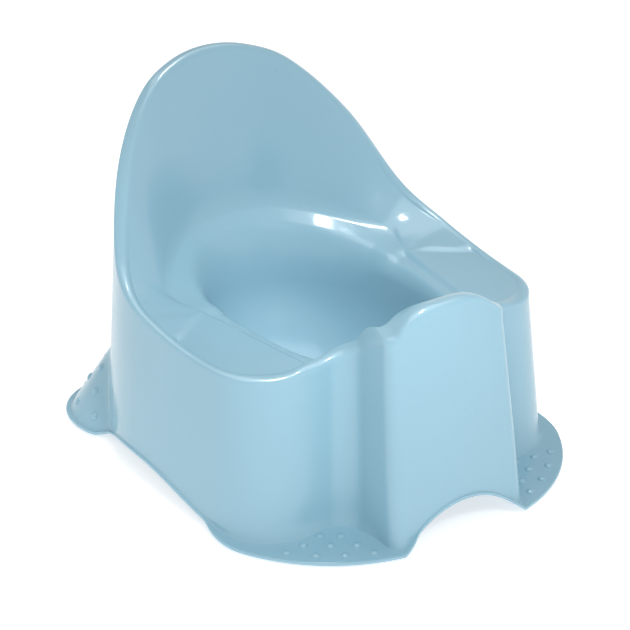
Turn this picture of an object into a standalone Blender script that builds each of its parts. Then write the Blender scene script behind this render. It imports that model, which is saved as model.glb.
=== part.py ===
"""Potty training chair with a high backrest, two wings, a splash guard and four feet.

The chair itself is one thin-walled moulding, open underneath. Four rubber pads sit
under the foot flanges. Metres, +Z up, the front faces -Y, symmetric about X = 0.
"""

import math

import bmesh
import bpy
from mathutils import Vector

# ---------------------------------------------------------------- driving sizes
WALL = 0.0025            # wall thickness of the moulding
GAP = 0.0003             # clearance between a pad and the flange above it
DRAFT_TOP = 0.150        # height at which the second value of each pair below holds

PANEL_HALF = (0.0570, 0.0485)    # half width of the front panel: base, top
PANEL_REACH = (0.1470, 0.1245)   # distance of the panel corners in front of the origin
PANEL_BOW = 0.0030               # how far the panel bulges forward in the middle
RIDGE_RADIUS = (0.0110, 0.0090)  # rounded upright edge of the panel
HOLLOW_RADIUS = (0.0170, 0.0150)  # rounded inner corner between panel and wing
WING_REACH = (0.0930, 0.0775)    # distance of the wing face in front of the origin
CORNER_RADIUS = (0.0480, 0.0460)  # rounded front corner of the wing
BACK_CENTRE = 0.046              # centre of the round back
BACK_RADIUS = (0.1450, 0.1345)   # radius of the round back
FLANK_TAPER = 0.005              # how much narrower the wing corner is than the back

WING_HEIGHT = 0.1195     # rim height along the wings
# rim height round the guard and down to the wing: distance along the outline from the
# front centre, height; the first and last only set the slope
GUARD_RIM = ((-0.0120, 0.1663), (0.0, 0.1665), (0.0120, 0.1663), (0.0220, 0.1647),
             (0.0310, 0.1613), (0.0380, 0.1568), (0.0445, 0.1512), (0.0500, 0.1480),
             (0.0620, 0.1456), (0.0766, 0.1400), (0.0860, 0.1345), (0.0920, 0.1315),
             (0.1020, 0.1275), (0.1100, 0.1249), (0.1260, 0.1232), (0.1370, 0.1207),
             (0.1500, 0.1197), (0.1650, 0.1195), (0.1800, 0.1195))
# height of the inner edge of the guard: distance from the middle plane, height
GUARD_INNER = ((-0.0140, 0.1588), (0.0, 0.1590), (0.0140, 0.1588), (0.0240, 0.1572),
               (0.0320, 0.1545), (0.0400, 0.1500), (0.0460, 0.1475), (0.0540, 0.1430),
               (0.0620, 0.1360))
# rim height round the back: degrees from the side, height; it ends at the top of the backrest
BACK_STATIONS = ((-20.0, 0.1215), (0.0, 0.1270), (20.0, 0.1470), (40.0, 0.2020),
                 (60.0, 0.2420), (75.0, 0.2560), (90.0, 0.2605), (105.0, 0.2560))
RIM_WIDTH = 0.0110       # width of the rolled rim
GUARD_WIDTH = 0.0230     # width of the rim on top of the splash guard
RIM_DROP = 0.0060        # height of the rounded part of the rim

BOWL_CENTRE = 0.015      # centre of the bowl along Y
BOWL_HALF_WIDTH = 0.070
BOWL_HALF_LENGTH = 0.111
BOWL_POWER = 2.15        # 2 is an ellipse, larger is squarer
BOWL_FLOOR = 0.020
BOWL_EDGE = 0.103        # lower end of the rounded bowl edge
SEAT_HEIGHT = 0.1165     # seat beside the bowl

FLANGE_BASE = 0.0024     # underside of the foot flanges
FLANGE_THICK = 0.0024
BEAD = 0.0018            # lip that runs round the whole lower edge
FRONT_FOOT_CENTRE = (0.025, -0.025)
FRONT_FOOT_RADIUS = 0.1286
BACK_FOOT_ANGLE = 42.0   # direction of a rear foot, degrees from the X axis
BACK_FOOT_SPREAD = 20.5  # half width of a rear foot, degrees
BACK_FOOT_REACH = 0.031
BACK_FOOT_TOP = 0.058
BACK_FOOT_LIP = 0.0040
FRONT_ARCH = (0.0252, 0.0445)    # rise of the front arch, half width
SIDE_ARCH_RISE = 0.0170
BACK_ARCH_RISE = 0.0140

STUD_RADIUS = 0.0034
STUD_HEIGHT = 0.0013
STUD_SIDES = 8
PAD_HEIGHT = FLANGE_BASE - GAP

NORMAL_PASSES = 2        # how often the wall direction is evened out between neighbours
# points along each stretch of the half outline, front centre to back centre
N_PANEL, N_RIDGE, N_SIDE, N_HOLLOW, N_WING, N_CORNER, N_FLANK, N_BACK = 7, 4, 3, 4, 3, 7, 5, 16


# ---------------------------------------------------------------- small helpers
def pair(values, z):
    """Value at height z of a size that changes evenly from base to top."""
    return values[0] + (values[1] - values[0]) * z / DRAFT_TOP


def smooth(low, high, value):
    """0 below low, 1 above high, with a soft start and end."""
    t = min(1.0, max(0.0, (value - low) / (high - low)))
    return t * t * (3.0 - 2.0 * t)


def mix(a, b, t):
    """a at t = 0, b at t = 1."""
    return a + (b - a) * t


def along_stations(stations, place):
    """Smooth curve through (place, value) stations; the first and last only set the slope."""
    for k in range(1, len(stations) - 2):
        if place <= stations[k + 1][0] or k == len(stations) - 3:
            break
    (p0, v0), (p1, v1), (p2, v2), (p3, v3) = stations[k - 1:k + 3]
    t = (place - p1) / (p2 - p1)
    m1 = (v2 - v0) / (p2 - p0) * (p2 - p1)
    m2 = (v3 - v1) / (p3 - p1) * (p2 - p1)
    return ((2 * t ** 3 - 3 * t ** 2 + 1) * v1 + (t ** 3 - 2 * t ** 2 + t) * m1
            + (3 * t ** 2 - 2 * t ** 3) * v2 + (t ** 3 - t ** 2) * m2)


def arc(cx, cy, radius, start, end, count):
    """Points on a circle, angles in radians."""
    step = (end - start) / (count - 1)
    return [(cx + radius * math.cos(start + step * k), cy + radius * math.sin(start + step * k))
            for k in range(count)]


def line(a, b, count):
    """Evenly spaced points from a to b."""
    return [(mix(a[0], b[0], k / (count - 1)), mix(a[1], b[1], k / (count - 1)))
            for k in range(count)]


# ---------------------------------------------------------------- outline of the chair
def half_outline(z):
    """Plan outline of the outer wall at height z, right half, with a zone name per point."""
    half = pair(PANEL_HALF, z)
    reach = pair(PANEL_REACH, z)
    ridge = pair(RIDGE_RADIUS, z)
    hollow = pair(HOLLOW_RADIUS, z)
    wing = pair(WING_REACH, z)
    corner = pair(CORNER_RADIUS, z)
    back = pair(BACK_RADIUS, z)
    flank = back - FLANK_TAPER
    points = []

    flat = half - ridge
    for k in range(N_PANEL - 1):
        x = flat * k / (N_PANEL - 1)
        points.append((x, -(reach + PANEL_BOW * (1.0 - (x / flat) ** 2)), "panel"))
    points += [(x, y, "ridge") for x, y in
               arc(flat, -reach + ridge, ridge, -math.pi / 2, 0.0, N_RIDGE)]
    points += [(x, y, "side") for x, y in
               line((half, -reach + ridge), (half, -wing - hollow), N_SIDE)[1:-1]]
    points += [(x, y, "hollow") for x, y in
               arc(half + hollow, -wing - hollow, hollow, math.pi, math.pi / 2, N_HOLLOW)]
    points += [(x, y, "wing") for x, y in
               line((half + hollow, -wing), (flank - corner, -wing), N_WING)[1:-1]]
    points += [(x, y, "corner") for x, y in
               arc(flank - corner, -wing + corner, corner, -math.pi / 2, 0.04, N_CORNER)]
    for x, y in line((flank, -wing + corner), (back, BACK_CENTRE), N_FLANK)[1:-1]:
        t = (y + wing - corner) / (BACK_CENTRE + wing - corner)
        points.append((mix(flank, back, 1.0 - (1.0 - t) ** 2), y, "flank"))
    points += [(x, y, "back") for x, y in
               arc(0.0, BACK_CENTRE, back, 0.0, math.pi / 2, N_BACK)]
    points[-1] = (0.0, points[-1][1], "back")
    return points


HALF_COUNT = len(half_outline(0.0))
COLUMNS = 2 * HALF_COUNT - 2
MID = half_outline(0.130)
TRAVEL = [0.0]
for _a, _b in zip(MID, MID[1:]):
    TRAVEL.append(TRAVEL[-1] + math.hypot(_b[0] - _a[0], _b[1] - _a[1]))
RIDGE_START = N_PANEL - 1


def back_angle(x, y):
    """Degrees round the back, 0 at the side and 90 at the middle of the back."""
    return math.degrees(math.atan2(y - BACK_CENTRE, abs(x)))


def rim_height(index):
    """Height of the rim crest at one outline point."""
    x, y, zone = MID[index]
    if TRAVEL[index] < GUARD_RIM[-2][0]:
        return along_stations(GUARD_RIM, TRAVEL[index])
    if zone in ("corner", "flank"):
        return WING_HEIGHT + 1.3 * max(0.0, y + 0.030) ** 2
    return along_stations(BACK_STATIONS, back_angle(x, y))


def arch_height(index):
    """Height of the lower edge of the moulding at one outline point."""
    x, y, zone = MID[index]
    if zone in ("panel", "ridge") and y < -0.10:
        rise, width = FRONT_ARCH
        if x < width:
            return FLANGE_BASE + rise * (1.0 - (x / width) ** 2)
        return FLANGE_BASE
    angle = back_angle(x, y)
    if angle > 90.0 - 26.0:
        return FLANGE_BASE + BACK_ARCH_RISE * (1.0 - ((90.0 - angle) / 26.0) ** 2)
    if -0.068 < y <= 0.042 and zone in ("corner", "flank"):
        return FLANGE_BASE + SIDE_ARCH_RISE * math.cos(math.pi / 2 * (0.042 - y) / 0.110) ** 2
    if zone in ("flank", "back") and 0.042 < y < 0.103:
        return FLANGE_BASE + SIDE_ARCH_RISE * (1.0 - ((y - 0.042) / 0.062) ** 2)
    return FLANGE_BASE


def back_foot(x, y, z):
    """How far the rear foot stands out of the wall at height z."""
    level = (z - FLANGE_BASE - FLANGE_THICK) / (BACK_FOOT_TOP - FLANGE_BASE - FLANGE_THICK)
    if level >= 1.0:
        return 0.0
    left = 1.0 - max(0.0, level)
    spread = BACK_FOOT_SPREAD * left ** 0.8
    off = (back_angle(x, y) - BACK_FOOT_ANGLE) / spread
    return BACK_FOOT_REACH * left * max(0.0, 1.0 - off * off)


def push_out(x, y, amount):
    """Move a point away from the centre of the round back."""
    length = math.hypot(x, y - BACK_CENTRE)
    return (x + x / length * amount, y + (y - BACK_CENTRE) / length * amount)


def wall_point(index, z):
    """Point of the outer wall at height z, rear foot included."""
    x, y, zone = half_outline(z)[index]
    if zone == "back":
        x, y = push_out(x, y, back_foot(x, y, z))
    flare = 0.0025 * max(0.0, 1.0 - (z - FLANGE_BASE - FLANGE_THICK) / 0.012) ** 2
    if zone in ("hollow", "wing", "corner"):
        px, py = outward(index, z)
        x, y = x + px * flare, y + py * flare
    return Vector((x, y, z))


def outward(index, z):
    """Unit vector in plan that points out of the wall at one outline point."""
    points = half_outline(z)
    before = points[index - 1] if index > 0 else (-points[1][0], points[1][1])
    if index < HALF_COUNT - 1:
        after = points[index + 1]
    else:
        after = (-points[index - 1][0], points[index - 1][1])
    dx, dy = after[0] - before[0], after[1] - before[1]
    length = math.hypot(dx, dy)
    return dy / length, -dx / length


def lip_point(index):
    """Outer edge of the lower lip, or of the foot flange, in plan."""
    low = arch_height(index) + FLANGE_THICK
    base = wall_point(index, low)
    px, py = outward(index, low)
    x, y, zone = half_outline(low)[index]
    reach = BEAD
    if zone == "back":
        share = back_foot(x, y, FLANGE_BASE + FLANGE_THICK) / BACK_FOOT_REACH
        reach = BEAD + (BACK_FOOT_LIP - BEAD) * min(1.0, 4.0 * share)
        gx, gy = push_out(base.x, base.y, reach)
        return gx, gy
    plain = (base.x + px * reach, base.y + py * reach)
    if zone in ("panel", "flank"):
        return plain
    cx, cy = FRONT_FOOT_CENTRE
    dx, dy = base.x - cx, base.y - cy
    length = math.hypot(dx, dy)
    foot = max(0.0, FRONT_FOOT_RADIUS - length)
    if zone == "corner":
        foot *= 1.0 - smooth(-0.080, -0.040, base.y)
    if zone == "ridge":
        foot *= smooth(0.020, 0.052, base.x)
    fx, fy = base.x + dx / length * foot, base.y + dy / length * foot
    if math.hypot(fx - base.x, fy - base.y) > reach:
        return fx, fy
    return plain


# ---------------------------------------------------------------- sections of the moulding
def bowl_radius(dx, dy):
    """Distance from the bowl centre to the bowl edge in a given direction."""
    length = math.hypot(dx, dy)
    a = (abs(dx) / length / BOWL_HALF_WIDTH) ** BOWL_POWER
    b = (abs(dy) / length / BOWL_HALF_LENGTH) ** BOWL_POWER
    return (a + b) ** (-1.0 / BOWL_POWER)


def guard_share(index):
    """1 on the splash guard, 0 on the wings, seat and backrest."""
    return 1.0 - smooth(0.014, 0.040, TRAVEL[index] - TRAVEL[RIDGE_START])


def shelf_height(x, y):
    """Flat triangular shelf on each wing; -1 where there is none."""
    inner = 0.0790 + (y + 0.041) * 0.143
    if abs(x) < inner or y > 0.050:
        return -1.0
    return WING_HEIGHT


def upper_rows(index):
    """Points of the upper surface from the bowl floor out to the lip."""
    crest = rim_height(index)
    share = guard_share(index)
    rim = mix(RIM_WIDTH, GUARD_WIDTH, share)
    top = half_outline(crest)[index]
    dx, dy = top[0], top[1] - BOWL_CENTRE
    length = math.hypot(dx, dy)
    ux, uy = dx / length, dy / length
    bowl = bowl_radius(dx, dy)
    inner = length - rim
    rows = []

    def put(distance, z):
        rows.append(Vector((ux * distance, BOWL_CENTRE + uy * distance, z)))

    for part, z in ((0.45, BOWL_FLOOR + 0.0004), (0.74, 0.0235), (0.88, 0.034), (0.95, 0.056)):
        put(bowl * part, z)
    put(bowl, BOWL_EDGE)
    run = inner - bowl
    if top[1] < 0.020:
        guard_z = along_stations(GUARD_INNER, min(ux * inner, GUARD_INNER[-2][0]))
        inner_z = mix(min(crest - 0.0006, WING_HEIGHT), guard_z, share)
    else:
        inner_z = crest - mix(0.0006, RIM_DROP, smooth(0.020, 0.060, top[1]))
    for part in (0.08, 0.22, 0.40, 0.62, 0.82):
        edge = smooth(-0.10, 0.22, part)
        seat = mix(BOWL_EDGE, SEAT_HEIGHT, edge)
        climb = max(0.0, (part - 0.15) / 0.85) ** 1.25
        dish = seat + (inner_z - SEAT_HEIGHT) * climb
        slope = mix(BOWL_EDGE, inner_z, part ** 0.9)
        z = mix(dish, slope, share)
        shelf = shelf_height(ux * (bowl + run * part), BOWL_CENTRE + uy * (bowl + run * part))
        if share < 0.5:
            z = max(z, min(shelf, inner_z))
        put(bowl + run * part, z)
    put(inner, inner_z)
    put(length - rim * 0.80, mix(inner_z, crest, 0.72))
    put(length - rim * 0.50, crest)
    put(length - rim * 0.16, crest - 0.0016)

    low = arch_height(index) + FLANGE_THICK
    high = crest - RIM_DROP
    for part in (1.0, 0.70, 0.42, 0.27, 0.215, 0.16, 0.10, 0.045, 0.0):
        rows.append(wall_point(index, mix(low, high, part)))
    lip = lip_point(index)
    rows.append(Vector((lip[0], lip[1], low)))
    return rows


def full_ring(builder):
    """Call a builder for every column, mirroring the right half to the left."""
    columns = [builder(index) for index in range(HALF_COUNT)]
    for index in range(HALF_COUNT - 2, 0, -1):
        columns.append([Vector((-p.x, p.y, p.z)) for p in columns[index]])
    return columns


def surface_normals(upper, rows, count):
    """Outward normal at each point of the upper surface, evened out between neighbours."""
    normals = []
    for i in range(count):
        before, here, after = upper[i - 1], upper[i], upper[(i + 1) % count]
        column = []
        for j in range(rows):
            inward = here[j - 1] if j > 0 else Vector((0.0, BOWL_CENTRE, BOWL_FLOOR))
            column.append((here[j + 1] - inward).cross(after[j] - before[j]).normalized())
        normals.append(column)
    for _ in range(NORMAL_PASSES):
        even = []
        for i in range(count):
            column = []
            for j in range(rows):
                total = normals[i][j] * 2.0 + normals[i - 1][j] + normals[(i + 1) % count][j]
                total += normals[i][max(j - 1, 0)] + normals[i][min(j + 1, rows - 1)]
                column.append(total.normalized())
            even.append(column)
        normals = even
    return normals


def shell_mesh():
    """Closed thin-walled mesh: upper surface, underside and the lip that joins them."""
    upper = full_ring(upper_rows)
    rows = len(upper[0])
    count = len(upper)
    normals = surface_normals(upper, rows - 2, count)
    under = []
    for i in range(count):
        here = upper[i]
        column = [here[j] - normals[i][j] * WALL for j in range(rows - 2)]
        foot, lip = here[rows - 2], here[rows - 1]
        flat = Vector((foot.x - column[-1].x, foot.y - column[-1].y, 0.0)).normalized()
        low = lip.z - FLANGE_THICK
        column.append(Vector((foot.x - flat.x * WALL, foot.y - flat.y * WALL, low)))
        column.append(Vector((lip.x, lip.y, low)))
        under.append(column)
    return upper, under, rows, count


def make_material(name, colour, roughness):
    """Plain plastic or rubber material."""
    material = bpy.data.materials.new(name)
    material.use_nodes = True
    shader = material.node_tree.nodes["Principled BSDF"]
    shader.inputs["Base Color"].default_value = (*colour, 1.0)
    shader.inputs["Roughness"].default_value = roughness
    shader.inputs["Metallic"].default_value = 0.0
    return material


def add_object(name, bm, material, smooth_angle=40.0):
    """Turn a bmesh into a named object with outward normals and smooth shading."""
    bmesh.ops.recalc_face_normals(bm, faces=bm.faces)
    mesh = bpy.data.meshes.new(name)
    bm.to_mesh(mesh)
    bm.free()
    mesh.materials.append(material)
    mesh.shade_smooth()
    mesh.set_sharp_from_angle(angle=math.radians(smooth_angle))
    item = bpy.data.objects.new(name, mesh)
    bpy.context.scene.collection.objects.link(item)
    return item


def build_shell(material):
    """The whole moulding as one closed body."""
    upper, under, rows, count = shell_mesh()
    bm = bmesh.new()
    top = [[bm.verts.new(p) for p in column] for column in upper]
    low = [[bm.verts.new(p) for p in column] for column in under]
    top_pole = bm.verts.new((0.0, BOWL_CENTRE, BOWL_FLOOR))
    low_pole = bm.verts.new((0.0, BOWL_CENTRE, BOWL_FLOOR - WALL))
    for i in range(count):
        k = (i + 1) % count
        bm.faces.new((top_pole, top[i][0], top[k][0]))
        bm.faces.new((low_pole, low[k][0], low[i][0]))
        for j in range(rows - 1):
            bm.faces.new((top[i][j], top[i][j + 1], top[k][j + 1], top[k][j]))
            bm.faces.new((low[i][j], low[k][j], low[k][j + 1], low[i][j + 1]))
        bm.faces.new((top[i][-1], low[i][-1], low[k][-1], top[k][-1]))
    bmesh.ops.triangulate(bm, faces=bm.faces)
    return add_object("potty_shell", bm, material)


# ---------------------------------------------------------------- pads and studs
def add_stud(bm, centre, normal):
    """One low round stud, sunk into the flange under it."""
    turn = normal.to_track_quat("Z", "Y")
    rings = []
    for radius, height in ((STUD_RADIUS * 1.2, -0.0012), (STUD_RADIUS * 0.60, STUD_HEIGHT)):
        ring = []
        for k in range(STUD_SIDES):
            angle = 2.0 * math.pi * (k + 0.5) / STUD_SIDES
            spot = Vector((radius * math.cos(angle), radius * math.sin(angle), height))
            ring.append(bm.verts.new(centre + turn @ spot))
        rings.append(ring)
    for lower, higher in zip(rings, rings[1:]):
        for k in range(STUD_SIDES):
            n = (k + 1) % STUD_SIDES
            bm.faces.new((lower[k], lower[n], higher[n], higher[k]))
    bm.faces.new(rings[-1])
    bm.faces.new(list(reversed(rings[0])))


def front_stud_places():
    """Centres of the nine studs on the right front flange."""
    axis = Vector((0.57, -0.82, 0.0))
    across = Vector((0.82, 0.57, 0.0))
    middle = Vector((0.0940, -0.1228, FLANGE_BASE + FLANGE_THICK))
    places = []
    for back, count, pitch, bow in ((0.0, 4, 0.0195, 0.0036), (0.0125, 3, 0.0180, 0.0016),
                                    (0.0245, 2, 0.0140, 0.0)):
        for k in range(count):
            side = (k - (count - 1) / 2) * pitch
            drop = bow * (abs(side) / 0.029) ** 2
            places.append(middle - axis * (back + drop) + across * side)
    return places


def back_stud_places():
    """Centres and directions of the nine studs on the right rear foot."""
    places = []
    for z, turns in ((0.0125, (-13.5, -4.8, 4.8, 13.5)), (0.0265, (-8.5, 0.0, 8.5)),
                     (0.0400, (-3.9, 3.9))):
        for turn in turns:
            spot = back_foot_point(turn, z)
            side = back_foot_point(turn + 0.5, z) - back_foot_point(turn - 0.5, z)
            rise = back_foot_point(turn, z + 0.001) - back_foot_point(turn, z - 0.001)
            normal = rise.cross(side).normalized()
            if normal.z < 0.0:
                normal.negate()
            places.append((spot, normal))
    return places


def back_foot_point(turn, z):
    """Point on the sloping face of the right rear foot."""
    angle = math.radians(BACK_FOOT_ANGLE + turn)
    radius = pair(BACK_RADIUS, z)
    x, y = radius * math.cos(angle), BACK_CENTRE + radius * math.sin(angle)
    x, y = push_out(x, y, back_foot(x, y, z))
    return Vector((x, y, z))


def add_pad(name, inner, outer, material):
    """Flat rubber pad between an inner and an outer edge line."""
    bm = bmesh.new()
    edge = outer + list(reversed(inner))
    floor = [bm.verts.new((x, y, 0.0)) for x, y in edge]
    roof = [bm.verts.new((x, y, PAD_HEIGHT)) for x, y in edge]
    count = len(outer)
    for k in range(len(edge)):
        n = (k + 1) % len(edge)
        bm.faces.new((floor[k], floor[n], roof[n], roof[k]))
    for k in range(count - 1):
        a, b = len(edge) - 1 - k, len(edge) - 2 - k
        bm.faces.new((floor[k], floor[k + 1], floor[b], floor[a]))
        bm.faces.new((roof[k], roof[k + 1], roof[b], roof[a]))
    return add_object(name, bm, material, 30.0)


def front_pad_edges(side):
    """Inner and outer edge of a front pad, a curved strip under the flange."""
    cx, cy = FRONT_FOOT_CENTRE
    lines = []
    for radius in (FRONT_FOOT_RADIUS - 0.017, FRONT_FOOT_RADIUS - 0.005):
        points = arc(cx, cy, radius, math.radians(-68.0), math.radians(-37.0), 9)
        lines.append([(side * x, y) for x, y in points])
    return lines


def back_pad_edges(side):
    """Inner and outer edge of a rear pad, a curved strip under the lip of the foot."""
    lines = []
    for inset in (0.0034, -0.0016):
        points = []
        for k in range(9):
            turn = mix(-14.0, 14.0, k / 8)
            spot = back_foot_point(turn, FLANGE_BASE + FLANGE_THICK)
            x, y = push_out(spot.x, spot.y, -inset)
            points.append((side * x, y))
        lines.append(points)
    return lines


def build():
    """Build every piece."""
    for item in list(bpy.data.objects):
        bpy.data.objects.remove(item)
    plastic = make_material("pale_blue_plastic", (0.33, 0.58, 0.70), 0.22)
    rubber = make_material("grey_rubber", (0.30, 0.32, 0.34), 0.75)
    shell = build_shell(plastic)

    bm = bmesh.new()
    for side in (1.0, -1.0):
        for spot in front_stud_places():
            add_stud(bm, Vector((side * spot.x, spot.y, spot.z)), Vector((0.0, 0.0, 1.0)))
        for spot, normal in back_stud_places():
            wanted = Vector((side * spot.x, spot.y, spot.z))
            found, place, _, _ = shell.closest_point_on_mesh(wanted)
            turned = Vector((side * normal.x, normal.y, normal.z))
            add_stud(bm, place if found else wanted, turned)
    studs = add_object("stud_tool", bm, plastic)
    studs.hide_render = True
    studs.display_type = "WIRE"
    join = shell.modifiers.new("add_studs", "BOOLEAN")
    join.operation = "UNION"
    join.solver = "EXACT"
    join.object = studs

    pieces = [shell, studs]
    for label, side in (("left", -1.0), ("right", 1.0)):
        pieces.append(add_pad("anti_slip_pad_front_" + label, *front_pad_edges(side), rubber))
        pieces.append(add_pad("anti_slip_pad_rear_" + label, *back_pad_edges(side), rubber))

    # put the origin under the middle of the overall box
    depth = [vertex.co.y for vertex in shell.data.vertices]
    middle = (min(depth) + max(depth)) / 2.0
    for piece in pieces:
        for vertex in piece.data.vertices:
            vertex.co.y -= middle


build()
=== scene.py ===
"""Potty training chair: a fine one-piece moulding, foot studs and rubber pads.

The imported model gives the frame. The moulding is drawn again here with close, smooth
sections, the round studs on its feet are placed by Geometry Nodes, and each pad gets
rounded edges and grip ribs. Metres, +Z up, the front of the chair faces -Y.
"""

from __future__ import annotations

import logging
import math
from collections.abc import Callable, Sequence
from dataclasses import dataclass, field
from enum import Enum

import bmesh
import bpy
import numpy as np
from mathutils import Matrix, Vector

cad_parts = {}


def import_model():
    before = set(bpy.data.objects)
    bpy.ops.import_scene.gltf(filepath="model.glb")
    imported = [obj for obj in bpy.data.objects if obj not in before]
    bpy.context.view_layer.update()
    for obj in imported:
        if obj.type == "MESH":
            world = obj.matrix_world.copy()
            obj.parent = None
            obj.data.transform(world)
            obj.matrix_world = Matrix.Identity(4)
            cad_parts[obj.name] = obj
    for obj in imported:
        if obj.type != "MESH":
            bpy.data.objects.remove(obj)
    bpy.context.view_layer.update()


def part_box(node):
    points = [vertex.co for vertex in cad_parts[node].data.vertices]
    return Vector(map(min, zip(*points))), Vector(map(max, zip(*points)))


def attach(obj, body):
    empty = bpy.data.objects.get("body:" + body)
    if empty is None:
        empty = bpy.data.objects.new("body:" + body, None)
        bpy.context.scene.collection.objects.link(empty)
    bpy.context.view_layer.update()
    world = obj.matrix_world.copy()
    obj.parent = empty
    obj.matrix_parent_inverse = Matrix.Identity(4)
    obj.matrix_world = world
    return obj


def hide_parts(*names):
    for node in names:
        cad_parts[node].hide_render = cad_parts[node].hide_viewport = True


LOG = logging.getLogger("potty_chair")

Pair = tuple[float, float]
Plan = tuple[float, float]  # X and Y
Colour = tuple[float, float, float]
Socket = bpy.types.NodeSocket


class Stretch(Enum):
    """The stretches of the half outline, from the front centre to the back centre."""

    PANEL = "panel"
    RIDGE = "ridge"
    SIDE = "side"
    HOLLOW = "hollow"
    WING = "wing"
    CORNER = "corner"
    FLANK = "flank"
    BACK = "back"


class Side(Enum):
    """Left and right of the chair, with the sign of X."""

    LEFT = -1.0
    RIGHT = 1.0


# ---------------------------------------------------------------- small helpers
def smooth(low: float, high: float, value: float) -> float:
    """Return 0 below low, 1 above high, with a soft start and end."""
    t = min(1.0, max(0.0, (value - low) / (high - low)))
    return t * t * (3.0 - 2.0 * t)


def mix(a: float, b: float, t: float) -> float:
    """Return a at t = 0 and b at t = 1."""
    return a + (b - a) * t


def mix_pair(a: Pair, b: Pair, t: float) -> Pair:
    """Mix both numbers of two pairs."""
    return mix(a[0], b[0], t), mix(a[1], b[1], t)


def along(stations: Sequence[Pair], place: float) -> float:
    """Read a smooth curve through (place, value) stations.

    Args:
        stations: Places in rising order with their values.
        place: Where to read the curve; it is held inside the stations.

    Returns:
        The value of the curve.
    """
    place = min(stations[-1][0], max(stations[0][0], place))
    k = 0
    while k < len(stations) - 2 and place > stations[k + 1][0]:
        k += 1
    before = stations[max(k - 1, 0)]
    p1, v1 = stations[k]
    p2, v2 = stations[k + 1]
    after = stations[min(k + 2, len(stations) - 1)]
    t = (place - p1) / (p2 - p1)
    m1 = (v2 - before[1]) / (p2 - before[0]) * (p2 - p1)
    m2 = (after[1] - v1) / (after[0] - p1) * (p2 - p1)
    return ((2 * t ** 3 - 3 * t ** 2 + 1) * v1 + (t ** 3 - 2 * t ** 2 + t) * m1
            + (3 * t ** 2 - 2 * t ** 3) * v2 + (t ** 3 - t ** 2) * m2)


@dataclass
class Corner:
    """One corner of a section line, rounded off over a length on each side.

    Args:
        place: The sharp corner.
        before: Length of the rounding on the side that comes first.
        after: Length of the rounding on the side that comes next.
        steps: Number of points on the rounding.
        run: Number of points on the straight line that leads to the corner.
        reach: Largest share of the next line that the rounding may take.
    """

    place: Vector
    before: float
    after: float
    steps: int = 5
    run: int = 2
    reach: float = 0.48


def rounded_line(start: Vector, corners: Sequence[Corner], end: Vector) -> list[Vector]:
    """Draw a line through corners and round each one off with a quarter of an ellipse.

    Args:
        start: First point.
        corners: The corners in order.
        end: Last point; it isn't part of the result.

    Returns:
        The points, the same number for the same corner settings.
    """
    most_before = 0.92
    nothing = 1e-9
    weight = math.sqrt(0.5)
    points: list[Vector] = []
    last = start
    for k, corner in enumerate(corners):
        following = corners[k + 1].place if k + 1 < len(corners) else end
        back, ahead = last - corner.place, following - corner.place
        before = min(corner.before, most_before * back.length)
        after = min(corner.after, corner.reach * ahead.length)
        first = corner.place + (back.normalized() * before if back.length > nothing else back)
        final = corner.place + (ahead.normalized() * after if ahead.length > nothing else ahead)
        points += [last.lerp(first, n / corner.run) for n in range(corner.run)]
        for n in range(corner.steps):
            t = n / corner.steps
            a, b, c = (1 - t) ** 2, 2 * t * (1 - t) * weight, t * t
            points.append((first * a + corner.place * b + final * c) / (a + b + c))
        last = final
    points.append(last)
    return points


# ---------------------------------------------------------------- finishes
@dataclass(frozen=True)
class GlossyPlastic:
    """Shiny moulded polypropylene with faint flow marks and sparse specks.

    Args:
        name: Material name.
        light: Base colour where the plastic is lightest.
        deep: Base colour where it is deepest.
        speck: Colour of the specks.
        speck_cells: Cells per metre that may hold a speck.
        speck_size: Radius of a speck in cells.
        roughness: Lowest and highest roughness.
        flow_waves: Wide flow waves per metre.
        flow_bump: Depth of the flow waves.
        cloud_waves: Waves per metre of the change in roughness.
        peel_waves: Waves per metre of the fine skin of the mould.
        peel_bump: Depth of that skin.
        refraction: Index of refraction.
        coat: Weight of the clear top layer.
        coat_roughness: Roughness of that layer.
    """

    name: str = "pale_blue_plastic"
    light: Colour = (0.287, 0.490, 0.596)
    deep: Colour = (0.275, 0.477, 0.583)
    speck: Colour = (0.20, 0.42, 0.54)
    speck_cells: float = 85.0
    speck_size: float = 0.035
    roughness: Pair = (0.13, 0.22)
    flow_waves: float = 9.0
    flow_bump: float = 0.00022
    cloud_waves: float = 34.0
    peel_waves: float = 1400.0
    peel_bump: float = 0.000010
    refraction: float = 1.49
    coat: float = 0.05
    coat_roughness: float = 0.05

    def make(self) -> bpy.types.Material:
        """Build the material and return it."""
        kit = NodeKit(self.name)
        place = kit.object_place()
        flow = kit.noise(place, self.flow_waves, detail=2.0, rough=0.45, shift=(0.3, 0.1, 0.7))
        cloud = kit.noise(place, self.cloud_waves, detail=4.0, rough=0.55, shift=(1.7, 0.4, 0.2))
        peel = kit.noise(place, self.peel_waves, detail=2.0, rough=0.5)
        specks = kit.specks(place, self.speck_cells, self.speck_size)
        base = kit.ramp(flow, (0.30, self.deep), (0.70, self.light))
        kit.link(kit.tint(base, specks, self.speck), "Base Color")
        kit.link(kit.range(cloud, (0.35, 0.65), self.roughness), "Roughness")
        bump = kit.bump(flow, self.flow_bump, None)
        bump = kit.bump(peel, self.peel_bump, bump)
        kit.link(bump, "Normal")
        kit.constant("IOR", self.refraction)
        kit.constant("Specular IOR Level", 0.5)
        kit.constant("Coat Weight", self.coat)
        kit.constant("Coat Roughness", self.coat_roughness)
        return kit.material


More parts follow.
